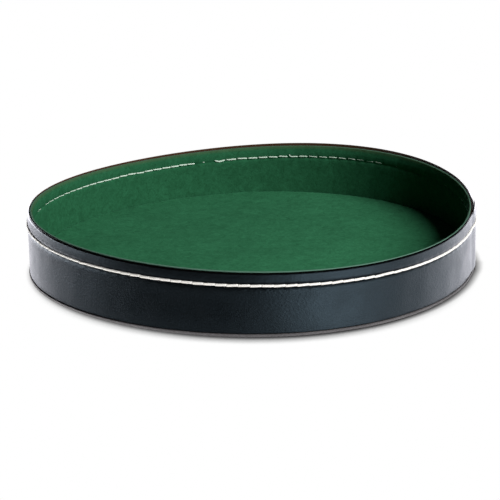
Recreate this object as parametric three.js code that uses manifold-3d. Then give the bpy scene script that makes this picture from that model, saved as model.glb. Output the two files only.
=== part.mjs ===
// Round dice tray: a felt-lined leather wall on a board base, sewn once round below the rim.
// Millimetres, +Z up, origin at the centre of the underside. Angles run counter-clockwise from +X.
import * as THREE from "three";
import { mergeGeometries, mergeVertices } from "three/addons/utils/BufferGeometryUtils.js";
import Module from "manifold-3d";

const wasm = await Module();
wasm.setup();

// The whole tray
const wallDiameter = 290; // over the leather
const trayHeight = 40;
const glueLine = 0.2; // film between two bonded layers

// Wall, from the outside in
const coverThickness = 1;
const coreThickness = 1;
const liningThickness = 1.4;
const liningDrop = 1; // from the rim down to the top edge of the lining

// Base, from the table up
const soleThickness = 1.5;
const soleOverhang = 0.4; // beyond the leather
const boardThickness = 3;
const floorFeltThickness = 1.2;
const floorFeltClearance = 0.3; // to the lining

// Leather turned in under the board, notched so that it lies flat
const hemWidth = 12;
const hemNotchCount = 24;
const hemNotchWidth = 4;
const hemNotchDepth = 8;
const fillerClearance = 0.5; // from the hem's inner edge to the card that levels it

// Lock-stitched seam
const stitchCount = 128;
const stitchBelowRim = 8;
const stitchSlant = 0.3; // rise of a stitch from hole to hole
const threadDiameter = 1.2;
const threadSeat = 0.2; // from a thread to the bottom of its groove
const grooveDepth = 0.5;
const grooveClearance = 0.2; // above and below the thread
const dipLength = 1; // along the seam, where a thread turns into its hole and out again
const dipRatio = 0.6; // thickness of the thread inside a hole against outside it
const holeClearance = 0.1; // above and below the thread
const holeEase = 0.2; // at both ends of a dip
const lockGap = 0.3; // between the two threads where they meet in the core
const seamStartAngle = 100;
const bobbinOpenStitches = 2; // left open between the start and the end of the inner row

// Joints of the three strips
const lapEndAngle = 0; // free end of the leather
const lapStitches = 3; // stitches through the doubled leather
const lapRampStitches = 2; // stitches over which the leather rises on to its own beginning
const scarfAngle = 0; // slanted glue joint of the core, under the free end of the leather
const scarfLength = 3;
const liningSeamAngle = 68; // butt joint of the lining
const liningSeamGap = 0.4;

// Radii of the wall
const wallRadius = wallDiameter / 2;
const coverInner = wallRadius - coverThickness;
const coreOuter = coverInner - glueLine;
const coreInner = coreOuter - coreThickness;
const liningOuter = coreInner - glueLine;
const liningInner = liningOuter - liningThickness;
const lockRadius = (coreOuter + coreInner) / 2;
const hemInner = wallRadius - hemWidth;

// Levels of the base and the wall
const coverBottom = soleThickness + glueLine;
const boardBottom = coverBottom + coverThickness + glueLine;
const floorFeltBottom = boardBottom + boardThickness + glueLine;
const liningTop = trayHeight - liningDrop;
const stitchHeight = trayHeight - stitchBelowRim;

// One facet of the wall spans two stitches, so every hole lies on a flat face
const turn = 2 * Math.PI;
const pitch = turn / stitchCount;
const facet = turn / Math.ceil(stitchCount / 2);

// The lap starts, rises and ends halfway between two holes
const threadRadius = threadDiameter / 2;
const lapLift = coverThickness + glueLine;
const lapEnd = nearest(lapEndAngle, pitch);
const lapStart = lapEnd - lapStitches * pitch;
const rampStart = lapStart - lapRampStitches * pitch;
const lapOverrun = (threadRadius + threadSeat) / wallRadius; // the thread clears the lap's free edge
const sameAngle = 1e-6; // radians

function nearest(degrees, step) {
  return Math.round(THREE.MathUtils.degToRad(degrees) / step) * step;
}

// Height of the outermost leather above the plain wall, for an angle anywhere on the circle
function lapHeight(angle) {
  const along = THREE.MathUtils.euclideanModulo(angle - rampStart, turn);
  if (along > lapEnd + lapOverrun - rampStart + sameAngle) return 0;
  return lapLift * Math.min(along / (lapStart - rampStart), 1);
}

// Point of the faceted circle that has its corners on the given radius
function onFacet(radius, angle, lift = 0) {
  const fromMiddle = THREE.MathUtils.euclideanModulo(angle, facet) - facet / 2;
  const distance = (radius * Math.cos(facet / 2)) / Math.cos(fromMiddle) + lift;
  return new THREE.Vector2(distance * Math.cos(angle), distance * Math.sin(angle));
}

// Facet corners from one angle to another, with both ends and any further corners between them
function corners(from, to, further = []) {
  const nearby = pitch / 8;
  const angles = [...further];
  for (let k = Math.ceil(from / facet); k * facet < to; k++) angles.push(k * facet);
  const between = angles.filter((a) => a > from + nearby && a < to - nearby).sort((a, b) => a - b);
  const distinct = between.filter((a, i) => i === 0 || a - between[i - 1] > nearby);
  return [from, ...distinct, to];
}

function circle(radius) {
  return corners(0, turn).slice(1).map((angle) => onFacet(radius, angle));
}

function ring(outer, inner) {
  const shape = new THREE.Shape(circle(outer));
  shape.holes.push(new THREE.Path(inner));
  return shape;
}

// Outline of a strip bent round the wall, from the points of its outer and inner faces
function strip(outer, inner) {
  return new THREE.Shape([...outer, ...inner.reverse()]);
}

function upright(shape, height) {
  return new THREE.ExtrudeGeometry(shape, { depth: height, bevelEnabled: false });
}

function solid(geometry) {
  const bare = geometry.clone();
  bare.deleteAttribute("normal");
  bare.deleteAttribute("uv");
  const welded = mergeVertices(bare);
  const vertProperties = new Float32Array(welded.attributes.position.array);
  const triVerts = new Uint32Array(welded.index.array);
  return new wasm.Manifold(new wasm.Mesh({ numProp: 3, vertProperties, triVerts }));
}

function surface(body) {
  const mesh = body.getMesh();
  const geometry = new THREE.BufferGeometry();
  geometry.setAttribute("position", new THREE.BufferAttribute(mesh.vertProperties, 3));
  geometry.setIndex(new THREE.BufferAttribute(mesh.triVerts, 1));
  const flat = geometry.toNonIndexed();
  flat.computeVertexNormals();
  return flat;
}

function holeAngle(index) {
  return (index + 0.5) * pitch;
}

// Slits through the whole wall, one for each hole of the seam
function stitchHoles() {
  const inside = liningInner - threadDiameter;
  const outside = wallRadius + lapLift + threadDiameter;
  const length = dipLength + 2 * holeEase;
  const height = threadDiameter + stitchSlant + 2 * holeClearance;
  const slits = [];
  for (let index = 0; index < stitchCount; index++) {
    const slit = new THREE.BoxGeometry(outside - inside, length, height);
    slit.translate((outside + inside) / 2, 0, stitchHeight);
    slits.push(slit.rotateZ(holeAngle(index)));
  }
  return solid(mergeGeometries(slits));
}

// Band of space that presses a groove for the thread into a face of the wall
function groove(shape) {
  const height = threadDiameter + stitchSlant + 2 * grooveClearance;
  return solid(upright(shape, height).translate(0, 0, stitchHeight - height / 2));
}

// Leather strip that laps over its own beginning, with the hem turned in at its foot
function coverGeometry(holes) {
  const angles = corners(lapStart, lapEnd + turn, [rampStart + turn, lapStart + turn]);
  const lift = (angle) => (angle < rampStart + turn ? 0 : lapHeight(angle));
  const face = (radius) => angles.map((angle) => onFacet(radius, angle, lift(angle)));
  const wall = upright(strip(face(wallRadius), face(coverInner)), trayHeight - coverBottom);

  const edge = [];
  const tab = turn / hemNotchCount;
  const halfNotch = hemNotchWidth / 2 / hemInner;
  for (let k = 0; k < hemNotchCount; k++) {
    const spot = (radius, angle) => edge.push(
      new THREE.Vector2(radius * Math.cos(angle), radius * Math.sin(angle)));
    spot(hemInner, k * tab - halfNotch);
    spot(hemInner + hemNotchDepth, k * tab);
    spot(hemInner, k * tab + halfNotch);
    spot(hemInner, (k + 0.5) * tab);
  }
  const hem = upright(ring((wallRadius + coverInner) / 2, edge), coverThickness);

  const outermost = corners(lapEnd, lapEnd + turn, [rampStart + turn, lapStart + turn]);
  const rise = outermost.map((angle, i) => (i === 0 ? 0 : lift(angle)));
  const above = outermost.map((angle, i) => onFacet(wallRadius, angle, rise[i] + grooveDepth));
  const below = outermost.map((angle, i) => onFacet(wallRadius, angle, rise[i] - grooveDepth));
  const body = solid(wall).add(solid(hem)).translate(0, 0, coverBottom);
  return surface(body.subtract(groove(strip(above, below))).subtract(holes));
}

// Hoop of the core, closed by a joint that slants through its thickness
function coreGeometry(holes) {
  const slant = scarfLength / coreOuter;
  const from = nearest(scarfAngle, pitch) - slant / 2;
  const slit = (glueLine * Math.hypot(scarfLength, coreThickness)) / coreThickness / coreOuter;
  const outer = corners(from, from + turn - slit).map((angle) => onFacet(coreOuter, angle));
  const inner = corners(from + slant, from + slant + turn - slit).map((angle) => onFacet(coreInner, angle));
  const hoop = upright(strip(outer, inner), trayHeight - boardBottom).translate(0, 0, boardBottom);
  return surface(solid(hoop).subtract(holes));
}

// Felt strip on the inside of the core, butted end to end
function liningGeometry(holes) {
  const from = nearest(liningSeamAngle, pitch);
  const angles = corners(from, from + turn - liningSeamGap / liningInner);
  const face = (radius) => angles.map((angle) => onFacet(radius, angle));
  const band = upright(strip(face(liningOuter), face(liningInner)), liningTop - floorFeltBottom);
  const pressed = groove(ring(liningInner + grooveDepth, circle(liningInner - grooveDepth)));
  return surface(solid(band.translate(0, 0, floorFeltBottom)).subtract(pressed).subtract(holes));
}

// A thread lies along a face from hole to hole and dips into every hole as far as the lock in the
// core. Side is 1 for the face that looks out and -1 for the one that looks in.
function threadGeometry(side, firstHole, stitches, faceRadius) {
  const sections = [];
  const section = (angle, height, far, middle, near, half) => {
    const outline = [[far, 0], [middle, half], [near, 0], [middle, -half]];
    sections.push((side > 0 ? outline : outline.reverse()).map(([radius, up]) => new THREE.Vector3(
      radius * Math.cos(angle), radius * Math.sin(angle), height + up)));
  };
  const lie = (angle, height) => {
    const middle = faceRadius(angle) + side * (threadSeat + threadRadius - grooveDepth);
    section(angle, height, middle + side * threadRadius, middle, middle - side * threadRadius, threadRadius);
  };
  const dip = (angle) => {
    const mouth = faceRadius(angle) - side * threadRadius;
    const lock = lockRadius + (side * lockGap) / 2;
    section(angle, stitchHeight, mouth, (mouth + lock) / 2, lock, threadRadius * dipRatio);
  };

  const aside = lockGap / 2 / lockRadius;
  const halfDip = dipLength / 2 / wallRadius;
  for (let k = 0; k < stitches; k++) {
    const start = holeAngle(firstHole + k);
    const end = start + pitch;
    dip(k === 0 ? start + aside : start);
    lie(start + halfDip, stitchHeight - stitchSlant / 2);
    for (const bend of [rampStart, lapStart, lapEnd + lapOverrun]) {
      const angle = start + THREE.MathUtils.euclideanModulo(bend - start, turn);
      if (side > 0 && angle < end) lie(angle, stitchHeight);
    }
    lie(end - halfDip, stitchHeight + stitchSlant / 2);
    if (k === stitches - 1) dip(end - aside);
  }

  const count = sections[0].length;
  const index = [];
  for (let s = 0; s + 1 < sections.length; s++) {
    for (let i = 0; i < count; i++) {
      const a = s * count + i;
      const b = s * count + ((i + 1) % count);
      index.push(a, a + count, b, b, a + count, b + count);
    }
  }
  const last = (sections.length - 1) * count;
  index.push(0, 1, 2, 0, 2, 3, last, last + 2, last + 1, last, last + 3, last + 2);
  const geometry = new THREE.BufferGeometry().setFromPoints(sections.flat());
  geometry.setIndex(index);
  const flat = geometry.toNonIndexed();
  flat.computeVertexNormals();
  return flat;
}

function piece(name, geometry, color, roughness, level = 0) {
  const mesh = new THREE.Mesh(geometry, new THREE.MeshStandardMaterial({ color, roughness, metalness: 0 }));
  mesh.name = name;
  mesh.position.z = level;
  return mesh;
}

function disc(radius, thickness) {
  return upright(new THREE.Shape(circle(radius)), thickness);
}

const base = new THREE.Group();
const floorFeltRadius = liningInner - floorFeltClearance;
base.add(
  piece("base_sole", disc(wallRadius + soleOverhang, soleThickness), 0x6f6a68, 0.85),
  piece("base_filler", disc(hemInner - fillerClearance, coverThickness), 0x9b958a, 0.9, coverBottom),
  piece("base_board", disc(coreInner - glueLine, boardThickness), 0x6a4a30, 0.75, boardBottom),
  piece("floor_felt", disc(floorFeltRadius, floorFeltThickness), 0x29603f, 0.95, floorFeltBottom),
);

const holes = stitchHoles();
const wall = new THREE.Group();
wall.add(
  piece("wall_cover", coverGeometry(holes), 0x17181b, 0.42),
  piece("wall_core", coreGeometry(holes), 0x3d2a1e, 0.7),
  piece("wall_lining", liningGeometry(holes), 0x29603f, 0.95),
);

const seam = new THREE.Group();
const seamStart = Math.round(THREE.MathUtils.degToRad(seamStartAngle) / pitch - 0.5);
const bobbinStart = seamStart + bobbinOpenStitches;
const bobbinStitches = stitchCount - bobbinOpenStitches;
const outerFace = (angle) => wallRadius + lapHeight(angle);
const innerFace = () => liningInner * Math.cos(facet / 2);
seam.add(
  piece("needle_thread", threadGeometry(1, seamStart, stitchCount, outerFace), 0xeceae3, 0.6),
  piece("bobbin_thread", threadGeometry(-1, bobbinStart, bobbinStitches, innerFace), 0xdedbd0, 0.6),
);

const tray = new THREE.Group();
tray.name = "dice_tray";
tray.add(base, wall, seam);

export default tray;
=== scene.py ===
# Dice tray: leather wall, felt lining and floor, lock-stitched seam and sole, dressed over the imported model
import math
import bpy
import numpy as np
from mathutils import Matrix, Vector


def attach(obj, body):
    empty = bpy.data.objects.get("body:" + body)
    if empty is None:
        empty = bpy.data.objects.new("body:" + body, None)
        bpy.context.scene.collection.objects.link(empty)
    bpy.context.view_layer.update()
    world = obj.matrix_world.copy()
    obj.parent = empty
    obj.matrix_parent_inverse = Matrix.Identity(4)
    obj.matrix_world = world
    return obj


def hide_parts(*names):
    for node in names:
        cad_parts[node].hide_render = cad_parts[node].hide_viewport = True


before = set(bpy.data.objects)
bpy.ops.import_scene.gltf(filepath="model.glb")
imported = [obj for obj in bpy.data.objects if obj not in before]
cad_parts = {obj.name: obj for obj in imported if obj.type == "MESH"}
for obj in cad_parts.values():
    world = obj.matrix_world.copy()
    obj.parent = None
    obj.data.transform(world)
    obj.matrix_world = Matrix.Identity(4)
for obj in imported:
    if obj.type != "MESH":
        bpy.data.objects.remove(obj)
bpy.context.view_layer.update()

rng = np.random.default_rng(29)
mm = 0.001
print("packed model:", ", ".join(sorted(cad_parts)))

# Sizes that several pieces share, as in the part's source: millimetres, and stitches round the wall
tray = {
    "radius": 145.0,  # over the leather
    "rim": 40.0,
    "firmUpTo": 5.9,  # top of the base board, above which the wall is soft
    "stitches": 128,
    "seamLevel": 32.0,
    "seamStart": 35,  # hole where the seam starts and ends
    "lapStitches": 3,  # the leather's free end, at angle 0, covers this much of its own beginning
    "rampStitches": 2,  # and rises on to it over this much
    "lapLift": 1.2,
    "glue": 0.2,
}
pitch = 2 * math.pi / tray["stitches"]
stitchLength = pitch * tray["radius"]

# How the tray is out of true. Waves round it, with (cosine, sine) amounts in millimetres, put it out of
# round, its soft rim out of level and its seam out of line with the rim. Where the seam starts and ends, its
# holes drift out of step, counted in stitches.
settled = {
    "outwards": {2: (-0.55, 0.19), 3: (-2.19, 0.26)},
    "upwards": {0: (0.77, 0.0), 2: (0.26, 1.72), 3: (-0.45, 0.18)},
    "seam": {0: (-0.38, 0.0), 1: (-0.08, -0.41), 2: (-0.16, 0.34)},
    "drift": 0.5, "driftAt": 36.5, "driftOver": 2.5,
}

# What the seam presses into a face: where it lies above the seam and how wide it is, in millimetres
pressed = {
    "holeWidth": 0.8,
    "crownAt": 2.0, "crownWidth": 4.5, "crownFoot": 1.0,
    "swellingAt": -4.6, "swellingWidth": 3.2,
    "puckerAt": 2.0, "puckerWidth": 1.2,
}

# Waves for gentle unevenness: how often round the wall, how much they climb, how many, and the sum that so
# many seldom pass
uneven = {"turns": (5, 60), "climb": 0.15, "count": 9, "usualCrest": 3}

bendSteps = 4  # points along a rounded corner
clearOfEnds = 0.03  # no column lies closer to a strip's end than this, in stitches
flatEnds = 1.5  # the flats of a disc end this far inside its edge
sharpFrom = 48  # edges that bend by more degrees stay sharp


# S-curve from 0 to 1
def smooth(x):
    x = np.clip(x, 0, 1)
    return x * x * (3 - 2 * x)


# S-curve that rises to 1 over the last stretch before an end
def nearing(x, end, over):
    return smooth((x - end + over) / over)


# Bell curve: 1 in the middle, 1/e one width away
def bell(distance, width):
    return np.exp(-((distance / width) ** 2))


# Height of the waves of one kind at an angle
def waves(angle, way):
    return sum(c * np.cos(n * angle) + s * np.sin(n * angle) for n, (c, s) in settled[way].items())


def seamHeight(angle):
    return tray["seamLevel"] + waves(angle, "seam")


# How far the holes are out of step, in stitches: most in the open stretch of the inner row
def holeDrift(stitch):
    half = tray["stitches"] / 2
    fromStart = (stitch - settled["driftAt"] + half) % tray["stitches"] - half
    return settled["drift"] * bell(fromStart, settled["driftOver"])


# How far the leather rises on to its own beginning
def lapRise(stitch):
    lapAt = tray["stitches"] - tray["lapStitches"]
    return tray["lapLift"] * nearing(stitch, lapAt, tray["rampStitches"])


# Cylinder coordinates in millimetres to points in metres. The waves outwards grow in proportion to the
# radius, and the waves upwards in proportion to the height between the base board and the rim.
def place(angle, radius, height):
    angle, radius, height = np.broadcast_arrays(angle, radius, height)
    softness = np.clip((height - tray["firmUpTo"]) / (tray["rim"] - tray["firmUpTo"]), 0, 1)
    radius = radius * (1 + waves(angle, "outwards") / tray["radius"])
    height = height + waves(angle, "upwards") * softness
    return mm * np.stack([radius * np.cos(angle), radius * np.sin(angle), height], -1)


# Quads between neighbours of a grid; a closed direction joins its last line to its first
def gridFaces(rows, columns, closedRows, closedColumns):
    i = np.arange(rows - (not closedRows))[:, None]
    j = np.arange(columns - (not closedColumns))
    nextI, nextJ = (i + 1) % rows, (j + 1) % columns
    quads = [i * columns + j, nextI * columns + j, nextI * columns + nextJ, i * columns + nextJ]
    return np.stack(quads, -1).reshape(-1, 4).tolist()


# Faces of a closed section carried along a path, with both ends filled
def sweptFaces(rows, columns):
    start = list(range(columns))
    end = [(rows - 1) * columns + j for j in reversed(start)]
    return gridFaces(rows, columns, False, True) + [start, end]


# Rounded corner: a quadratic curve that the corner pulls on
def roundedCorner(enter, corner, leave):
    t = np.linspace(0, 1, bendSteps)[:, None]
    return (1 - t) ** 2 * enter + 2 * t * (1 - t) * corner + t**2 * leave


# Section of a strip, anticlockwise seen with the radius to the right: a corner is (radius, height, rounding),
# and the straight after each corner is divided at the given fractions
def crossSection(corners, runs):
    spots = np.array([corner[:2] for corner in corners], float)
    rounding = np.array([corner[2] for corner in corners], float)[:, None]
    ahead = np.roll(spots, -1, 0) - spots
    ahead /= np.linalg.norm(ahead, axis=1, keepdims=True)
    enter, leave = spots - np.roll(ahead, 1, 0) * rounding, spots + ahead * rounding
    parts = []
    for k, run in enumerate(runs):
        parts.append(roundedCorner(enter[k], spots[k], leave[k]))
        parts.append(leave[k] + np.reshape(run, (-1, 1)) * (enter[(k + 1) % len(runs)] - leave[k]))
    return np.concatenate(parts)


def evenly(count):
    return np.linspace(0, 1, count + 2)[1:-1]


# Stretches of evenly spaced places, each given as first, last and count
def stretches(runs):
    return np.concatenate([np.linspace(*run) for run in runs])


# Places round the wall in stitches, crowded at the holes, which lie halfway between whole numbers
def roundTheWall(start, end, spots):
    whole = np.arange(math.floor(start) - 1, math.ceil(end) + 1)
    places = (whole[:, None] + 0.5 + np.asarray(spots)).ravel()
    places = places[(places > start + clearOfEnds) & (places < end - clearOfEnds)]
    return np.concatenate([[start], np.sort(places), [end]])[:, None]


# Relief of the seam: a groove along it, a dimple at every hole, a crown above that falls away towards the
# rim, a swelling below, and puckers that rise between the holes. Positive stands out from the face.
def seamRelief(angle, height, piece):
    p = pressed
    up = height - seamHeight(angle)
    stitch = angle / pitch
    fromHole = ((stitch - holeDrift(stitch)) % 1 - 0.5) * stitchLength
    groove = piece["groove"] * bell(up, piece["grooveWidth"])
    dimple = piece["dimple"] * bell(up, p["holeWidth"]) * bell(fromHole, p["holeWidth"])
    crown = piece["swellAbove"] * bell(up - p["crownAt"], p["crownWidth"])
    crown = crown * smooth((up + p["crownFoot"]) / (2 * p["crownFoot"]))
    swelling = piece["swellBelow"] * bell(up - p["swellingAt"], p["swellingWidth"])
    beside = bell(up - p["puckerAt"], p["puckerWidth"]) + bell(up + p["puckerAt"], p["puckerWidth"])
    puckers = -piece["pucker"] * np.cos(2 * np.pi * fromHole / stitchLength) * beside
    return crown + swelling - groove - dimple + puckers


# Gentle unevenness: a few waves of whole turns round the wall that climb with the height
def ripples(angle, height, amount, count=uneven["count"]):
    turns = rng.integers(*uneven["turns"], count)
    climb = rng.uniform(-uneven["climb"], uneven["climb"], count)
    start = rng.uniform(0, 2 * np.pi, count)
    total = sum(np.sin(n * angle + c * height + s) for n, c, s in zip(turns, climb, start))
    return amount / uneven["usualCrest"] * total


def addPiece(name, points, faces, material, node, slotName, **attributes):
    mesh = bpy.data.meshes.new(name)
    mesh.from_pydata(points.reshape(-1, 3).tolist(), [], faces)
    for key, values in attributes.items():
        spread = np.ascontiguousarray(values, np.float32).ravel()
        mesh.attributes.new(key, "FLOAT", "POINT").data.foreach_set("value", spread)
    mesh.polygons.foreach_set("use_smooth", np.ones(len(mesh.polygons), bool))
    mesh.set_sharp_from_angle(angle=math.radians(sharpFrom))
    mesh.materials.append(material)
    piece = bpy.data.objects.new(name, mesh)
    bpy.context.scene.collection.objects.link(piece)
    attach(piece, "root")
    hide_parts(node)
    print(name, "has", sum(len(face) - 2 for face in faces), "triangles")
    return piece


# Materials

def hexColour(text):
    srgb = np.array([int(text[k:k + 2], 16) for k in (1, 3, 5)]) / 255
    linear = np.where(srgb <= 0.04045, srgb / 12.92, ((srgb + 0.055) / 1.055) ** 2.4)
    return (*linear.tolist(), 1.0)


# Texture scale that makes a feature the given number of millimetres across
def across(size):
    return 1 / (size * mm)


# Gives a node's inputs their values, or the sockets that feed them
def feed(tree, node, inputs):
    for key, value in inputs.items():
        if isinstance(value, bpy.types.NodeSocket):
            tree.links.new(value, node.inputs[key])
        else:
            node.inputs[key].default_value = value


# Sockets that share a name go by number: Mix takes its two colours at 6 and 7 and gives theirs at 2, and
# MapRange maps the range from 1 to 2 on to the range from 3 to 4
def addNode(tree, kind, inputs=None, **settings):
    node = tree.nodes.new("ShaderNode" + kind)
    for key, value in settings.items():
        setattr(node, key, value)
    feed(tree, node, inputs or {})
    return node


def startMaterial(name):
    material = bpy.data.materials.new(name)
    material.use_nodes = True
    tree = material.node_tree
    spot = addNode(tree, "TexCoord").outputs["Object"]
    return material, tree, tree.nodes["Principled BSDF"], spot


# Lacquered black cowhide: a satin skin that mirrors its surroundings softly, with a fine pebble grain and an
# uneven gloss, an inked black edge rubbed smooth along the rim, and a raw brown flesh side
def makeLeather():
    material, tree, shader, spot = startMaterial("lacqueredBlackCowhide")
    cells = addNode(
        tree, "TexVoronoi", {"Vector": spot, "Scale": across(1.3), "Randomness": 0.95}, feature="SMOOTH_F1")
    pores = addNode(
        tree, "TexNoise", {"Vector": spot, "Scale": across(0.5), "Detail": 3.0, "Roughness": 0.6})
    cloudy = addNode(
        tree, "TexNoise", {"Vector": spot, "Scale": across(14), "Detail": 4.0, "Roughness": 0.55})
    edge = addNode(tree, "Attribute", attribute_name="cutEdge").outputs["Fac"]
    flesh = addNode(tree, "Attribute", attribute_name="fleshSide").outputs["Fac"]
    dyed = addNode(
        tree, "Mix", {0: cloudy.outputs["Fac"], 6: hexColour("#030405"), 7: hexColour("#070809")},
        data_type="RGBA")
    inked = addNode(tree, "Mix", {0: edge, 6: dyed.outputs[2], 7: hexColour("#040404")}, data_type="RGBA")
    raw = addNode(
        tree, "Mix", {0: pores.outputs["Fac"], 6: hexColour("#33210f"), 7: hexColour("#593e22")},
        data_type="RGBA")
    colour = addNode(tree, "Mix", {0: flesh, 6: inked.outputs[2], 7: raw.outputs[2]}, data_type="RGBA")
    gloss = addNode(tree, "MapRange", {0: cloudy.outputs["Fac"], 1: 0.3, 2: 0.7, 3: 0.34, 4: 0.44})
    alongEdge = addNode(tree, "MapRange", {0: edge, 3: gloss.outputs[0], 4: 0.24})
    duller = addNode(tree, "MapRange", {0: flesh, 3: alongEdge.outputs[0], 4: 0.9})
    grain = addNode(tree, "Math", {0: cells.outputs["Distance"], 1: pores.outputs["Fac"]}, operation="ADD")
    bump = addNode(tree, "Bump", {"Height": grain.outputs[0], "Strength": 0.4, "Distance": 0.22 * mm})
    feed(tree, shader, {
        "Base Color": colour.outputs[2], "Roughness": duller.outputs[0], "Normal": bump.outputs["Normal"],
        "IOR": 1.5, "Specular Tint": hexColour("#c8f0ff"),
    })
    return material


# Leatherboard, cut and stained dark brown: pressed leather fibre with a dull, faintly streaked edge
def makeLeatherboard():
    material, tree, shader, spot = startMaterial("stainedLeatherboard")
    fibres = addNode(
        tree, "TexNoise", {"Vector": spot, "Scale": across(0.9), "Detail": 4.0, "Roughness": 0.65})
    patches = addNode(tree, "TexNoise", {"Vector": spot, "Scale": across(16), "Detail": 2.0})
    stain = addNode(
        tree, "Mix", {0: fibres.outputs["Fac"], 6: hexColour("#2a1b13"), 7: hexColour("#553b2c")},
        data_type="RGBA")
    colour = addNode(
        tree, "Mix", {0: patches.outputs["Fac"], 6: hexColour("#332319"), 7: stain.outputs[2]},
        data_type="RGBA")
    bump = addNode(tree, "Bump", {"Height": fibres.outputs["Fac"], "Strength": 0.5, "Distance": 0.1 * mm})
    feed(tree, shader, {"Base Color": colour.outputs[2], "Roughness": 0.62, "Normal": bump.outputs["Normal"]})
    return material


# Pressed wool felt, dyed billiard green: matt and soft, clouded by its matted fibres, with a pale bloom of
# loose hair at grazing angles. Towards its top it is painted darker and greyer, as shade, and its cut edge
# is paler, partly its own colour and partly a painted highlight. The fibre tufts are drawn coarser than
# real, to show.
def makeFelt(name, deep, pale):
    material, tree, shader, spot = startMaterial(name)
    tufts = addNode(tree, "TexNoise", {
        "Vector": spot, "Scale": across(0.9), "Detail": 5.0, "Roughness": 0.7, "Distortion": 0.6,
    })
    matted = addNode(
        tree, "TexNoise", {"Vector": spot, "Scale": across(4.5), "Detail": 3.0, "Distortion": 1.2})
    clouds = addNode(tree, "TexNoise", {"Vector": spot, "Scale": across(38), "Detail": 2.0})
    coarse = addNode(tree, "Math", {0: matted.outputs["Fac"], 1: 0.45}, operation="MULTIPLY")
    fibres = addNode(
        tree, "Math", {0: tufts.outputs["Fac"], 1: 0.55, 2: coarse.outputs[0]}, operation="MULTIPLY_ADD")
    contrast = addNode(tree, "MapRange", {0: fibres.outputs[0], 1: 0.32, 2: 0.68})
    dyed = addNode(
        tree, "Mix", {0: contrast.outputs[0], 6: hexColour(deep), 7: hexColour(pale)}, data_type="RGBA")
    shade = addNode(tree, "MapRange", {0: clouds.outputs["Fac"], 1: 0.3, 2: 0.7, 3: 0.93, 4: 1.07})
    clouded = addNode(tree, "VectorMath", {0: dyed.outputs[2], 3: shade.outputs[0]}, operation="SCALE")
    # Painted shade: the felt turns darker and greyer towards the top of the lining
    worn = addNode(tree, "Attribute", attribute_name="wornTop").outputs["Fac"]
    alongEdge = addNode(
        tree, "Mix", {0: worn, 6: clouded.outputs[0], 7: hexColour("#55563e")}, data_type="RGBA")
    # The cut edge is paler: partly the felt's own edge, partly a painted highlight
    edge = addNode(tree, "Attribute", attribute_name="cutEdge").outputs["Fac"]
    colour = addNode(
        tree, "Mix", {0: edge, 6: alongEdge.outputs[2], 7: hexColour("#537465")}, data_type="RGBA")
    bump = addNode(tree, "Bump", {"Height": fibres.outputs[0], "Strength": 0.6, "Distance": 0.4 * mm})
    feed(tree, shader, {
        "Base Color": colour.outputs[2], "Roughness": 0.95, "Normal": bump.outputs["Normal"],
        "Specular IOR Level": 0.05,
        "Sheen Weight": 0.05, "Sheen Roughness": 0.25, "Sheen Tint": hexColour("#a9d2cc"),
    })
    return material


# Waxed linen thread, bleached: off-white, three twisted plies, darker in the lay of the twist, and
# greener on the inner row, where green light bounced off the felt is painted on
def makeThread():
    material, tree, shader, spot = startMaterial("waxedLinenThread")
    fibre = addNode(tree, "TexNoise", {"Vector": spot, "Scale": across(0.25), "Detail": 2.0})
    soiled = addNode(tree, "TexNoise", {"Vector": spot, "Scale": across(9), "Detail": 3.0})
    groove = addNode(tree, "Attribute", attribute_name="plyGroove").outputs["Fac"]
    # Painted green light, as bounced off the felt, on the inner row
    bounceTint = addNode(tree, "Attribute", attribute_name="feltFluff").outputs["Fac"]
    clean = addNode(
        tree, "Mix", {0: soiled.outputs["Fac"], 6: hexColour("#dfddd8"), 7: hexColour("#eceae7")},
        data_type="RGBA")
    # Darker in the grooves between the plies
    twisted = addNode(
        tree, "Mix", {0: groove, 6: clean.outputs[2], 7: hexColour("#ccc8c1")}, data_type="RGBA")
    colour = addNode(
        tree, "Mix", {0: bounceTint, 6: twisted.outputs[2], 7: hexColour("#a9cdb6")}, data_type="RGBA")
    bump = addNode(tree, "Bump", {"Height": fibre.outputs["Fac"], "Strength": 0.3, "Distance": 0.05 * mm})
    feed(tree, shader, {
        "Base Color": colour.outputs[2], "Roughness": 0.6, "Normal": bump.outputs["Normal"],
        "Sheen Weight": 0.1, "Sheen Roughness": 0.4,
    })
    return material


# Fibreboard sole, die cut: grey-brown and matt, flecked with short fibres, with a faint ridge along its edge.
# The bands of a wave texture lie 0.314 of its scale apart, here about 3 mm.
def makeSoleBoard():
    material, tree, shader, spot = startMaterial("dieCutFibreboard")
    flecks = addNode(
        tree, "TexNoise", {"Vector": spot, "Scale": across(1.1), "Detail": 5.0, "Roughness": 0.75})
    patches = addNode(tree, "TexNoise", {"Vector": spot, "Scale": across(30), "Detail": 2.0})
    ridge = addNode(
        tree, "TexWave", {"Vector": spot, "Scale": across(10), "Distortion": 1.5}, bands_direction="Z")
    fleck = addNode(tree, "MapRange", {0: flecks.outputs["Fac"], 1: 0.35, 2: 0.65})
    ground = addNode(
        tree, "Mix", {0: fleck.outputs[0], 6: hexColour("#413f40"), 7: hexColour("#575556")},
        data_type="RGBA")
    tone = addNode(tree, "MapRange", {0: patches.outputs["Fac"], 1: 0.3, 2: 0.7, 3: 0.9, 4: 1.1})
    colour = addNode(tree, "VectorMath", {0: ground.outputs[2], 3: tone.outputs[0]}, operation="SCALE")
    height = addNode(tree, "Math", {0: flecks.outputs["Fac"], 1: ridge.outputs["Fac"]}, operation="ADD")
    bump = addNode(tree, "Bump", {"Height": height.outputs[0], "Strength": 0.4, "Distance": 0.1 * mm})
    feed(tree, shader, {"Base Color": colour.outputs[0], "Roughness": 0.82, "Normal": bump.outputs["Normal"]})
    return material


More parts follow.
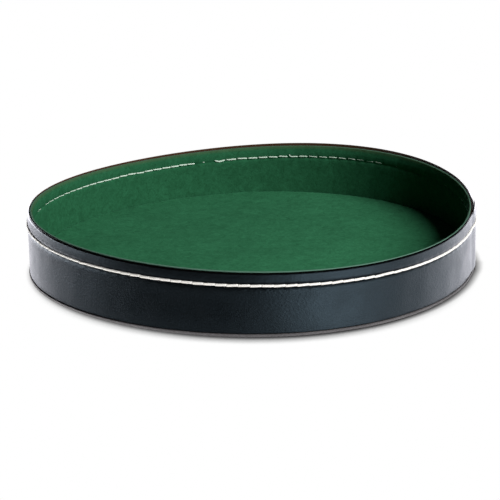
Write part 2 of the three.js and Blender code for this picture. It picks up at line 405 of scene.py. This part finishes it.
# Oiled hardboard and grey pulp card: flat sheets inside the base, fibrous and matt
def makePressedSheet(name, dark, pale, fibre, roughness):
    material, tree, shader, spot = startMaterial(name)
    pulp = addNode(
        tree, "TexNoise", {"Vector": spot, "Scale": across(fibre), "Detail": 5.0, "Roughness": 0.7})
    colour = addNode(
        tree, "Mix", {0: pulp.outputs["Fac"], 6: hexColour(dark), 7: hexColour(pale)}, data_type="RGBA")
    bump = addNode(tree, "Bump", {"Height": pulp.outputs["Fac"], "Strength": 0.3, "Distance": 0.1 * mm})
    feed(tree, shader, {
        "Base Color": colour.outputs[2], "Roughness": roughness, "Normal": bump.outputs["Normal"],
    })
    return material


# Leather wall: a strip with its hem turned in at the foot, whose free end lies over its own beginning.
# Lengths along the strip are in stitches.
leather = {
    "thickness": 1.0, "foot": 1.7, "rounding": 0.3, "rimRounding": 0.5, "footRounding": 0.4,
    "hemReach": 12.0, "hemUnderLap": 0.03, "notches": 24, "notchWidth": 4.0, "notchDepth": 8.0,
    "groove": 0.8, "grooveWidth": 1.6, "dimple": 0.2, "swellAbove": 0.35, "swellBelow": 0.2, "pucker": 0.06,
    "unevenness": 0.05,
    "shoulder": 0.75, "shoulderHeight": 1.1, "shoulderPower": 1.3,
    "tuck": 0.7, "tuckHeight": 12.0, "tuckPower": 1.5,
    "loose": 0.4, "looseOver": 2.2, "tiedBy": 2.4, "looseAbove": 8.0,
    "skive": 0.4, "skiveOver": 0.5, "corner": 0.3, "cornerOver": 0.6, "cornerHeight": 8.0,
    "inked": 1.2, "inkFade": 0.5, "endInked": 0.12, "endInkFade": 0.1, "fleshDepth": 0.25, "fleshFade": 0.2,
    "levels": ((3.4, 27.4, 14), (28.1, 35.9, 23), (36.6, 39.4, 10)),  # close together at the seam
    "spots": (-0.4, -0.24, -0.12, -0.04, 0.04, 0.12, 0.24, 0.4),  # columns beside each hole
}


# The section is carried round the wall. Its outer face takes the seam's relief, a shoulder bevelled along the
# rim, and a foot tucked in at the front, as powers of the distance. The hem shortens in its notches, and over
# the last stitches the whole section rises on to the beginning, which has almost no hem there. The free end
# is thinned, stands a little loose above and below the seam, and has its top corner cut back.
def makeWallLeather():
    p = leather
    outside, inside, hemEdge = tray["radius"], tray["radius"] - p["thickness"], tray["radius"] - p["hemReach"]
    foot, hemTop, rim = p["foot"], p["foot"] + p["thickness"], tray["rim"]
    low, high = foot + p["footRounding"], rim - p["rimRounding"]
    section = crossSection(
        [(outside, foot, p["footRounding"]), (outside, rim, p["rimRounding"]), (inside, rim, p["rounding"]),
         (inside, hemTop, p["rounding"]), (hemEdge, hemTop, p["rounding"]), (hemEdge, foot, p["rounding"])],
        [(stretches(p["levels"]) - low) / (high - low),
         evenly(1), evenly(5), evenly(3), evenly(1), evenly(4)])
    radius, height = section.T
    endAt = tray["stitches"]
    stitch = roundTheWall(-tray["lapStitches"], endAt, p["spots"])
    angle = stitch * pitch
    covered = 1 - smooth(stitch)

    relief = seamRelief(angle, height, p) + ripples(angle, height, p["unevenness"])
    relief -= p["shoulder"] * np.clip(1 - (rim - height) / p["shoulderHeight"], 0, 1) ** p["shoulderPower"]
    tuck = p["tuck"] * np.clip(-np.sin(angle), 0, 1) ** p["tuckPower"]
    relief -= tuck * np.clip(1 - (height - foot) / p["tuckHeight"], 0, 1) ** 2
    skived = p["skive"] * nearing(stitch, endAt, p["skiveOver"])
    outer = np.clip((radius - inside) / p["thickness"], 0, 1)

    untied = 1 - bell(height - seamHeight(angle), p["tiedBy"])
    untied = untied * smooth((height - tray["firmUpTo"]) / p["looseAbove"])
    lift = lapRise(stitch) + p["loose"] * nearing(stitch, endAt, p["looseOver"]) * untied

    spacing = 2 * math.pi / p["notches"]
    fromNotch = np.abs((angle / spacing + 0.5) % 1 - 0.5) * spacing * hemEdge
    notch = np.clip(1 - fromNotch / (p["notchWidth"] / 2), 0, 1) * p["notchDepth"] / (inside - hemEdge)
    withdrawn = 1 - (1 - notch) * (1 - (1 - p["hemUnderLap"]) * covered)
    hem = np.clip(inside - radius, 0, None)

    clear = covered * (p["thickness"] + tray["glue"]) * (rim - height) / (rim - foot)
    cutBack = p["corner"] * nearing(stitch, endAt, p["cornerOver"])
    cutBack = cutBack * smooth((height - tray["seamLevel"]) / p["cornerHeight"])
    points = place(
        angle, radius + lift + outer * ((1 - covered) * relief - skived) + hem * withdrawn,
        height + clear - cutBack)

    inkedRim = smooth((height - rim + p["inked"]) / p["inkFade"])
    inkedEnd = smooth((stitch - endAt + p["endInked"]) / p["endInkFade"])
    fleshSide = smooth((inside + p["fleshDepth"] - radius) / p["fleshFade"]) + 0 * angle
    addPiece(
        "wallLeather", points, sweptFaces(*points.shape[:2]), makeLeather(), "wall_cover", "black_leather",
        cutEdge=np.maximum(inkedRim, inkedEnd), fleshSide=fleshSide)


makeWallLeather()


# Leatherboard hoop inside the wall, skived to a thin edge at the top, its ends bevelled to meet under the
# leather's free end
board = {
    "outside": 143.8, "inside": 142.8, "foot": 2.9, "top": 39.6, "rounding": 0.1,
    "skivedFrom": 35.5, "skiveRounding": 0.5, "edge": 0.2, "edgeRounding": 0.06,
    "bevel": 3.0, "joint": 0.4, "columns": 661, "unevenness": 0.05, "unevenOver": 1.0,
}


# The section is carried round once, and each point runs on by the bevel in proportion to its depth. Only the
# top edge is uneven.
def makeWallBoard():
    p = board
    outside, inside, foot, top = p["outside"], p["inside"], p["foot"], p["top"]
    section = crossSection(
        [(outside, foot, p["rounding"]), (outside, top, p["edgeRounding"]),
         (outside - p["edge"], top, p["edgeRounding"]), (inside, p["skivedFrom"], p["skiveRounding"]),
         (inside, foot, p["rounding"])],
        [evenly(6), evenly(1), evenly(3), evenly(5), evenly(1)])
    radius, height = section.T
    turn = np.linspace(0, 2 * np.pi - p["joint"] / outside, p["columns"])[:, None]
    depth = (outside - radius) / (outside - inside)
    angle = turn + (depth - 0.5) * p["bevel"] / outside
    wavy = nearing(height, top, p["unevenOver"]) * ripples(angle, radius, p["unevenness"])
    points = place(angle, radius, height + wavy)
    addPiece(
        "wallBoard", points, sweptFaces(*points.shape[:2]), makeLeatherboard(), "wall_core", "leatherboard")


makeWallBoard()


# Felt lining: one strip butted end to end. Its slope lowers the top edge towards the right and the rear.
lining = {
    "outside": 142.6, "inside": 141.2, "foot": 6.1, "top": 39.5, "rounding": 0.45, "hiddenRounding": 0.2,
    "flat": (0.0329, 0.891), "slope": (0.4, 1.0), "flare": 0.25,
    "jointAt": 24, "joint": 0.08, "endSink": 0.06, "endSinkOver": 1.0,
    "groove": 0.5, "grooveWidth": 0.9, "dimple": 0.4, "swellAbove": 0.15, "swellBelow": 0.12, "pucker": 0.08,
    "unevenness": 0.12,
    # Painted shade along the top: its share and reach; then where the paler cut edge, partly a painted
    # highlight, begins and fades
    "worn": 0.36, "shadedOver": 2.6, "cutFrom": 0.8, "cutFade": 0.4, "cutOver": 0.7,
    "levels": ((0.05, 0.35, 17), (0.38, 0.97, 14)),  # shares of the way down, close together at the seam
    "spots": (-0.38, -0.2, -0.07, 0.07, 0.2, 0.38),
}


# The inner face takes the seam's relief, and sinks a little at both ends. Along the skived board the strip
# leans outwards. The slope grows with the height as an S-curve. Towards the top the felt is painted darker,
# as shade, and its cut edge paler, partly as a painted highlight.
def makeWallFelt():
    p = lining
    outside, inside, foot, top = p["outside"], p["inside"], p["foot"], p["top"]
    section = crossSection(
        [(outside, foot, p["hiddenRounding"]), (outside, top, p["rounding"]), (inside, top, p["rounding"]),
         (inside, foot, p["rounding"])],
        [evenly(5), evenly(1), stretches(p["levels"]), evenly(1)])
    radius, height = section.T
    gap = p["joint"] / inside / pitch
    stitch = roundTheWall(p["jointAt"] + gap / 2, p["jointAt"] + tray["stitches"] - gap / 2, p["spots"])
    angle = stitch * pitch
    inner = np.clip((outside - radius) / (outside - inside), 0, 1)
    halfway = tray["stitches"] / 2
    fromEnd = (halfway - np.abs(stitch - p["jointAt"] - halfway)) * stitchLength
    relief = seamRelief(angle, height, p) + ripples(angle, height, p["unevenness"])
    relief -= p["endSink"] * bell(fromEnd, p["endSinkOver"])
    toRight, toRear = p["slope"]
    drop = (toRight * np.cos(angle) + toRear * np.sin(angle)) * smooth((height - foot) / (top - foot))
    leaning = p["flare"] * np.clip(height - board["skivedFrom"], 0, None)
    points = place(angle, radius + leaning - inner * relief, height - drop)
    # Where the cut edge is painted paler, partly as a highlight
    cutEdge = smooth((height - top + p["cutFrom"]) / p["cutFade"]) * smooth((radius - inside) / p["cutOver"])
    # Painted shade along the top of the lining
    wornTop = p["worn"] * nearing(height, top, p["shadedOver"])
    # The lining's felt is darker than the floor's: painted shade on the upright wall
    material = makeFelt("shadedWoolFeltLining", "#1b462d", "#2b6244")
    felt = addPiece(
        "wallFelt", points, sweptFaces(*points.shape[:2]), material, "wall_lining", "wall_felt",
        cutEdge=cutEdge + 0 * angle, wornTop=wornTop + 0 * angle)


makeWallFelt()


# A disc turned from its section, which runs from the middle of the underside round the edge to the middle of
# the top. A relief gives the shift of every point outwards and upwards.
def addDisc(name, p, material, node, slotName, relief=None):
    edge, bend, rows = p["radius"], p["rounding"], p["sectors"]
    low, high = p["bottom"], p["bottom"] + p["thickness"]
    rings = np.linspace(edge / p["rings"], edge - flatEnds, p["rings"])
    radius, height = np.concatenate([
        np.stack([rings, np.full(p["rings"], low)], -1),
        roundedCorner([edge - bend, low], [edge, low], [edge, low + bend]),
        roundedCorner([edge, high - bend], [edge, high], [edge - bend, high]),
        np.stack([rings[::-1], np.full(p["rings"], high)], -1),
    ]).T
    angle = np.linspace(0, 2 * np.pi, rows, endpoint=False)[:, None]
    outwards, upwards = relief(angle, radius, height) if relief else (0, 0)
    points = place(angle, radius + outwards, height + upwards)
    poles = points[:, [0, -1]].mean(0)
    columns = len(radius)
    first = np.arange(rows) * columns
    beside = np.roll(first, -1)
    under = np.stack([np.full(rows, rows * columns), beside, first], -1)
    over = np.stack([first + columns - 1, beside + columns - 1, np.full(rows, rows * columns + 1)], -1)
    faces = gridFaces(rows, columns, True, False) + under.tolist() + over.tolist()
    return addPiece(name, np.concatenate([points.reshape(-1, 3), poles]), faces, material, node, slotName)


# Felt floor: a disc laid on the base board inside the lining, whose top rises and falls by crossing waves
# about as long as a finger
floorCloth = {
    "radius": 140.9, "bottom": 6.1, "thickness": 1.2, "rounding": 0.45, "rings": 56, "sectors": 264,
    "unevenness": 0.12, "waves": 10, "waveLength": (18, 70),
}


def makeFloorFelt():
    p = floorCloth
    heading, phase = rng.uniform(0, 2 * np.pi, (2, p["waves"]))
    length = rng.uniform(*p["waveLength"], p["waves"])

    def relief(angle, radius, height):
        top = smooth((height - p["bottom"]) / p["thickness"])
        crossing = sum(
            np.sin(2 * np.pi * radius * np.cos(angle - way) / span + start)
            for way, span, start in zip(heading, length, phase))
        return 0, top * p["unevenness"] / uneven["usualCrest"] * crossing

    material = makeFelt("dyedWoolFeltFloor", "#23573a", "#387955")
    felt = addDisc("floorFelt", p, material, "floor_felt", "floor_felt", relief)


makeFloorFelt()

# Sheets of the base: a stiff board under the felt, a card that levels the leather's hem, and the sole
stiffener = {"radius": 142.6, "bottom": 2.9, "thickness": 3.0, "rounding": 0.2, "rings": 8, "sectors": 264}
hardboard = makePressedSheet("oiledHardboard", "#59391f", "#7a5535", fibre=1.4, roughness=0.6)
addDisc("baseBoard", stiffener, hardboard, "base_board", "hardboard")

leveller = {"radius": 132.5, "bottom": 1.7, "thickness": 1.0, "rounding": 0.2, "rings": 8, "sectors": 264}
card = makePressedSheet("greyPulpCard", "#87827a", "#aaa59b", fibre=0.9, roughness=0.9)
addDisc("baseFiller", leveller, card, "base_filler", "grey_card")

# The sole's edge wanders in and out by its raggedness
sole = {
    "radius": 145.4, "bottom": 0.0, "thickness": 1.5, "rounding": 0.3, "rings": 12, "sectors": 528,
    "raggedness": 0.06, "raggedOver": 2.0, "raggedClimb": 8, "raggedWaves": 24,
}


def makeSole():
    p = sole

    def relief(angle, radius, height):
        ragged = ripples(angle, p["raggedClimb"] * height, p["raggedness"], p["raggedWaves"])
        return nearing(radius, p["radius"], p["raggedOver"]) * ragged, 0

    addDisc("soleBoard", p, makeSoleBoard(), "base_sole", "sole_board", relief)


makeSole()


# Lock-stitched seam: one thread lies on the leather and one on the felt, and they meet inside the wall.
# Stretches of a stitch are shares of its length.
seam = {
    "lay": 3.4, "plies": 3, "plyDepth": 0.2, "steps": 24, "sides": 12,
    "slowing": 0.09, "thinning": 0.4, "kickFrom": 0.72, "kickOver": 0.2,
    "stepFrom": 0.04, "stepOver": 0.4,
}


# A path given as (distance along the seam, radius, height) becomes a tube: its section is a circle with
# a lobe for each ply, which turn once in every lay of the twist
def twistedTube(path, size, closed):
    p = seam
    period = 2 * np.pi * tray["radius"]
    step = np.gradient(path, axis=0)
    if closed:
        step = np.roll(path, -1, 0) - np.roll(path, 1, 0)
        step[:, 0] = (step[:, 0] + period / 2) % period - period / 2
        step /= 2
    ahead = step / np.linalg.norm(step, axis=1, keepdims=True)
    aside = np.cross([0, 0, 1], ahead)
    aside /= np.linalg.norm(aside, axis=1, keepdims=True)
    upward = np.cross(ahead, aside)
    run = np.cumsum(np.linalg.norm(step, axis=1))
    turns = max(1, round(run[-1] / p["lay"]))
    around = np.linspace(0, 2 * np.pi, p["sides"], endpoint=False)
    crease = np.sin(p["plies"] / 2 * (around - 2 * np.pi * turns * run[:, None] / run[-1])) ** 2
    reach = (size[:, None] * (1 - p["plyDepth"] * crease))[..., None]
    outwards = np.cos(around)[:, None] * aside[:, None] + np.sin(around)[:, None] * upward[:, None]
    along, radius, height = np.moveaxis(path[:, None] + reach * outwards, -1, 0)
    points = place(along / tray["radius"], radius, height)
    faces = gridFaces(*points.shape[:2], True, True) if closed else sweptFaces(*points.shape[:2])
    return points.reshape(-1, 3), faces, crease.ravel()


# From hole to hole a thread lies on its face with a slight arch and slants upwards; at the holes it dives
# towards the middle of the wall as a bell curve, whose width changes evenly along the row, and grows thinner.
# The steps are closer together at the holes. Side is 1 outside and -1 inside.
def stitchPath(p, side, face, firstHole, count):
    t = np.linspace(0, 1, seam["steps"], endpoint=False)
    part = t - seam["slowing"] * np.sin(2 * np.pi * t)
    stitch = firstHole + 0.5 + np.arange(count)[:, None] + part
    stitch = stitch + holeDrift(stitch)
    fromHole = np.minimum(part, 1 - part) * stitchLength
    dive = bell(fromHole, np.linspace(*p["dipLength"], count)[:, None])
    level = rng.normal(0, p["wander"], (count, 1))
    slant = p["rise"] + rng.normal(0, p["tilt"], (count, 1))
    radius = face(stitch) + side * (p["arch"] * np.sin(np.pi * part) - p["dip"] * dive)
    height = seamHeight(stitch * pitch) + (level + slant * (part - 0.5)) * (1 - dive)
    size = p["threadRadius"] * (1 - seam["thinning"] * dive)
    for hole, bend in p["shapes"].items():
        k = (hole - firstHole) % tray["stitches"]
        height[k] += bend["sag"] * np.sin(np.pi * part) ** 2
        height[k] += bend["kick"] * smooth((part - seam["kickFrom"]) / seam["kickOver"])
        size[k] *= bend["thickness"]
    path = np.stack([stitch * stitchLength, radius, height], -1).reshape(-1, 3)
    return path, size.ravel()


# Height of the outermost leather round the wall, with a soft step off its free end for the thread
def lapUnderThread(stitch):
    endAt = tray["stitches"]
    turn = (stitch + endAt / 2) % endAt + endAt / 2
    return lapRise(turn) * (1 - smooth((turn - endAt - seam["stepFrom"]) / seam["stepOver"]))


threadMaterial = makeThread()

# The outer row is drawn up evenly, so its stitches nearly touch
outerRow = {
    "face": 145.15, "threadRadius": 0.8, "arch": 0.08, "rise": 0.22, "tilt": 0.14, "wander": 0.06,
    "dip": 1.5, "dipLength": (0.28, 0.28), "shapes": {},
}


def makeOuterStitches():
    p = outerRow
    face = lambda stitch: p["face"] + lapUnderThread(stitch)
    path, size = stitchPath(p, 1, face, tray["seamStart"], tray["stitches"])
    points, faces, crease = twistedTube(path, size, True)
    row = addPiece(
        "outerStitches", points, faces, threadMaterial, "needle_thread", "white_thread", plyGroove=crease)
    row.visible_glossy = False  # the leather's groove is too dull to mirror it


makeOuterStitches()

# The inner row sinks into the felt, more and more between its stitches, leaves two open where it starts and
# ends, and is drawn tight along two stretches, given as middle: (width in stitches, share). Its last stitch
# is slack, one more was pulled up at its far hole, and a loop of the outer thread shows in the open stretch.
innerRow = {
    "face": 141.3, "threadRadius": 0.64, "arch": 0.12, "rise": 0.3, "tilt": 0.1, "wander": 0.08,
    "dip": 1.2, "dipLength": (0.45, 0.6), "open": 2,
    "shapes": {
        34: {"sag": -0.85, "kick": 0.25, "thickness": 1.15},
        27: {"sag": -0.1, "kick": 1.3, "thickness": 1.0},
    },
    # The last amount is how much green light bounced off the felt is painted on the thread
    "tight": {66: (14, 0.95), 138: (14, 0.75)}, "tightSink": 0.6, "bounceTint": 0.8,
    "loopAt": 37.0, "loopWidth": 0.5, "loopDepth": 1.3, "loopReach": 1.5, "loopRadius": 0.36, "loopSteps": 14,
}


# The loop is half a turn out of the felt and back
def makeInnerStitches():
    p = innerRow
    tight = lambda stitch: sum(share * bell(stitch - at, over) for at, (over, share) in p["tight"].items())
    face = lambda stitch: p["face"] + p["tightSink"] * tight(stitch)
    path, size = stitchPath(p, -1, face, tray["seamStart"] + p["open"], tray["stitches"] - p["open"])
    size = size * (1 - tight(path[:, 0] / stitchLength))
    points, faces, crease = twistedTube(path, size, False)
    bow = np.linspace(np.pi, 0, p["loopSteps"])
    along = p["loopAt"] * stitchLength + p["loopWidth"] * np.cos(bow)
    radius = p["face"] + p["loopDepth"] - p["loopReach"] * np.sin(bow)
    loop = np.stack([along, radius, np.full(len(bow), seamHeight(p["loopAt"] * pitch))], -1)
    loopPoints, loopFaces, loopCrease = twistedTube(loop, np.full(len(bow), p["loopRadius"]), False)
    faces += [[k + len(points) for k in corners] for corners in loopFaces]
    crease = np.concatenate([crease, loopCrease])
    # The thread gets painted green bounce light, most in its ply grooves
    addPiece(
        "innerStitches", np.concatenate([points, loopPoints]), faces, threadMaterial, "bobbin_thread",
        "white_thread", plyGroove=crease, feltFluff=p["bounceTint"] * (1 + crease) / 2)


makeInnerStitches()


# Stage: a white floor. The camera sees on it only the shadow where the tray meets it: a wide one that falls
# to the front and the right, and a dark one close to the foot. The wall gets light from it, more on the left,
# and most from a patch of glare by the left foot. Metres, but a shadow's reach is in millimetres.
stage = {
    "size": 6.0, "bounce": (2.4, 1.1), "bounceOver": 0.5,
    "glare": 2.8, "glareFrom": (0.146, 0.17), "glareOver": (-0.02, -0.145), "samples": 24,
    "shadows": (
        {"reach": 22.0, "towards": (-0.05, 0.9, 0.42), "range": (0.36, 0.65), "depth": 0.2},
        {"reach": 7.5, "towards": (-0.3, 0.5, 0.75), "range": (0.34, 0.85), "depth": 0.05},
    ),
}


# From below the floor is clear, so that the underside shows
def makeFloor():
    p = stage
    half = p["size"] / 2
    corners = [(-half, -half, 0), (half, -half, 0), (half, half, 0), (-half, half, 0)]
    mesh = bpy.data.meshes.new("floor")
    mesh.from_pydata(corners, [], [(0, 1, 2, 3)])
    material = bpy.data.materials.new("whiteFloor")
    material.use_nodes = True
    tree = material.node_tree
    tree.nodes.clear()
    shades = []
    for s in p["shadows"]:
        towards = addNode(tree, "CombineXYZ", dict(enumerate(s["towards"]))).outputs[0]
        near = addNode(
            tree, "AmbientOcclusion", {"Distance": s["reach"] * mm, "Normal": towards}, samples=p["samples"])
        dark, clear = s["range"]
        shade = addNode(tree, "MapRange", {0: near.outputs["AO"], 1: dark, 2: clear, 3: s["depth"], 4: 1.0})
        shades.append(shade.outputs[0])
    shadow = addNode(tree, "Math", dict(enumerate(shades)), operation="MULTIPLY")

    ground = addNode(tree, "TexCoord").outputs["Object"]
    sideways = addNode(tree, "SeparateXYZ", {0: ground}).outputs["X"]
    fade = p["bounceOver"] / 2
    left, right = p["bounce"]
    thrown = addNode(tree, "MapRange", {0: sideways, 1: -fade, 2: fade, 3: left, 4: right})
    away = addNode(tree, "VectorMath", {0: ground}, operation="LENGTH").outputs["Value"]
    foot, gone = p["glareFrom"]
    close = addNode(tree, "MapRange", {0: away, 1: foot, 2: gone, 3: p["glare"], 4: 0.0})
    begins, full = p["glareOver"]
    leftwards = addNode(tree, "MapRange", {0: sideways, 1: begins, 2: full})
    total = addNode(
        tree, "Math", {0: close.outputs[0], 1: leftwards.outputs[0], 2: thrown.outputs[0]},
        operation="MULTIPLY_ADD")

    seen = addNode(tree, "LightPath").outputs["Is Camera Ray"]
    level = addNode(tree, "Mix", {0: seen, 2: total.outputs[0], 3: shadow.outputs[0]})
    white = addNode(tree, "Emission", {"Strength": level.outputs[0]})
    below = addNode(tree, "NewGeometry").outputs["Backfacing"]
    glass = addNode(tree, "BsdfTransparent")
    shown = addNode(tree, "MixShader", {0: below, 1: white.outputs[0], 2: glass.outputs[0]})
    addNode(tree, "OutputMaterial", {"Surface": shown.outputs[0]})
    mesh.materials.append(material)
    floor = bpy.data.objects.new("floor", mesh)
    bpy.context.scene.collection.objects.link(floor)
    floor.visible_glossy = False  # the leather mirrors the room instead


makeFloor()

# Light: a large softbox at the front right, which mirrors don't show, and a low fill. The leather mirrors a
# room instead, whose parts are (strength, curve over the azimuth in degrees, curve over the direction's
# height from -1 to 1): bright walls to the right and behind, the glow of the table all round, a window at the
# left rear, and a glint for the rim at the far left.
light = {
    "keyAzimuth": -36.0, "keyElevation": 35.0, "keyDistance": 1.7, "keySize": 1.0, "keyPower": 45.0,
    "fill": 0.01, "tint": "#faf7ff",
    "room": {
        "walls": (
            6.4,
            {-180: 0.04, -150: 0.006, -88: 0.006, -56: 0.8, -14: 0.2, 52: 0.73, 66: 0.98, 112: 0.84,
             126: 0.6, 150: 0.17, 180: 0.04},
            {-0.68: 0.04, -0.57: 0.5, -0.44: 0.47, -0.3: 0.4, -0.19: 1.0, -0.04: 0.95, 0.1: 0.003}),
        "table": (1.0, {0: 1.0}, {-0.64: 0.0, -0.57: 0.8, -0.46: 0.45, -0.37: 0.0}),
        "window": (
            5.0, {-180: 1.0, -164: 0.0, 100: 0.0, 122: 1.0, 180: 1.0},
            {-0.17: 0.0, -0.08: 1.0, 0.0: 1.0, 0.06: 0.0}),
        "glint": (
            4.0, {92: 0.0, 99: 1.0, 116: 1.0, 126: 0.0}, {0.06: 0.0, 0.13: 1.0, 0.28: 1.0, 0.34: 0.0}),
    },
}


# Curve through stops that lie within half the span either side of 0, level beyond them
def addCurve(tree, fac, stops, span):
    ramp = addNode(tree, "ValToRGB", {"Fac": fac})
    ramp.color_ramp.interpolation = "EASE"
    values = list(stops.values())
    stops = {0: values[0], **{at / span + 0.5: value for at, value in stops.items()}, 1: values[-1]}
    for at in list(stops)[1:-1]:
        ramp.color_ramp.elements.new(at)
    for stop, value in zip(ramp.color_ramp.elements, stops.values()):
        stop.color = (value, value, value, 1)
    return ramp.outputs["Color"]


def makeLight():
    p = light
    azimuth, elevation = math.radians(p["keyAzimuth"]), math.radians(p["keyElevation"])
    level = math.cos(elevation)
    toKey = Vector((math.cos(azimuth) * level, math.sin(azimuth) * level, math.sin(elevation)))
    lamp = bpy.data.lights.new("softbox", "AREA")
    lamp.shape, lamp.size, lamp.energy = "DISK", p["keySize"], p["keyPower"]
    box = bpy.data.objects.new("softbox", lamp)
    box.location = toKey * p["keyDistance"]
    box.rotation_euler = toKey.to_track_quat("Z", "Y").to_euler()
    bpy.context.scene.collection.objects.link(box)
    box.visible_glossy = False

    world = bpy.data.worlds.new("studio")
    bpy.context.scene.world = world
    world.use_nodes = True
    tree = world.node_tree
    tree.nodes.clear()
    way = addNode(tree, "TexCoord").outputs["Generated"]
    axes = addNode(tree, "SeparateXYZ", {0: way})
    heading = addNode(tree, "Math", {0: axes.outputs["Y"], 1: axes.outputs["X"]}, operation="ARCTAN2")
    turned = addNode(tree, "MapRange", {0: heading.outputs[0], 1: -math.pi, 2: math.pi}).outputs[0]
    steep = addNode(tree, "MapRange", {0: axes.outputs["Z"], 1: -1.0}).outputs[0]
    room = 0.0
    for strength, roundabout, upwards in p["room"].values():
        byAzimuth = addCurve(tree, turned, roundabout, 360)  # degrees in a circle
        byHeight = addCurve(tree, steep, upwards, 2)  # from straight down to straight up
        part = addNode(tree, "Math", {0: byAzimuth, 1: byHeight}, operation="MULTIPLY")
        total = addNode(tree, "Math", {0: part.outputs[0], 1: strength, 2: room}, operation="MULTIPLY_ADD")
        room = total.outputs[0]

    path = addNode(tree, "LightPath")
    seen = path.outputs["Is Camera Ray"]
    mirrored = addNode(
        tree, "Math", {0: path.outputs["Is Glossy Ray"], 1: path.outputs["Is Transmission Ray"]},
        operation="MAXIMUM")
    bounced = addNode(tree, "Mix", {0: mirrored.outputs[0], 2: p["fill"], 3: room})
    brightness = addNode(tree, "Mix", {0: seen, 2: bounced.outputs[0], 3: 1.0})
    hue = addNode(tree, "Mix", {0: seen, 6: hexColour(p["tint"]), 7: (1, 1, 1, 1)}, data_type="RGBA")
    sky = addNode(tree, "Background", {"Color": hue.outputs[2], "Strength": brightness.outputs[0]})
    addNode(tree, "OutputWorld", {"Surface": sky.outputs[0]})


makeLight()

# Camera: the tray's middle appears at a given pixel of the square frame
view = {
    "elevation": 17.768, "roll": -1.196, "distance": 2030.0, "middle": (0.0, 0.0, 1.6),
    "middlePixel": (254.98, 261.37), "frame": 500, "focalPixels": 3112.3, "sensor": 36.0, "clip": (0.1, 20.0),
}


def makeCamera():
    p = view
    tilt, roll = math.radians(p["elevation"]), math.radians(p["roll"])
    back = Vector((0, -math.cos(tilt), math.sin(tilt)))
    level, upright = Vector((1, 0, 0)), Vector((0, math.sin(tilt), math.cos(tilt)))
    right = level * math.cos(roll) + upright * math.sin(roll)
    up = upright * math.cos(roll) - level * math.sin(roll)
    middle = Vector(p["middle"]) * mm
    spot = middle + back * p["distance"] * mm
    perPixel = p["distance"] * mm / p["focalPixels"]
    offX, offY = (pixel - p["frame"] / 2 for pixel in p["middlePixel"])
    target = middle - right * offX * perPixel + up * offY * perPixel
    back = (spot - target).normalized()
    right = up.cross(back).normalized()
    up = back.cross(right)
    lens = bpy.data.cameras.new("camera")
    lens.sensor_width, lens.lens = p["sensor"], p["focalPixels"] * p["sensor"] / p["frame"]
    lens.clip_start, lens.clip_end = p["clip"]
    camera = bpy.data.objects.new("camera", lens)
    camera.matrix_world = Matrix.Translation(spot) @ Matrix((right, up, back)).transposed().to_4x4()
    bpy.context.scene.collection.objects.link(camera)
    bpy.context.scene.camera = camera


makeCamera()
bpy.context.scene.view_settings.view_transform = "Standard"
print("stage, light and camera set")
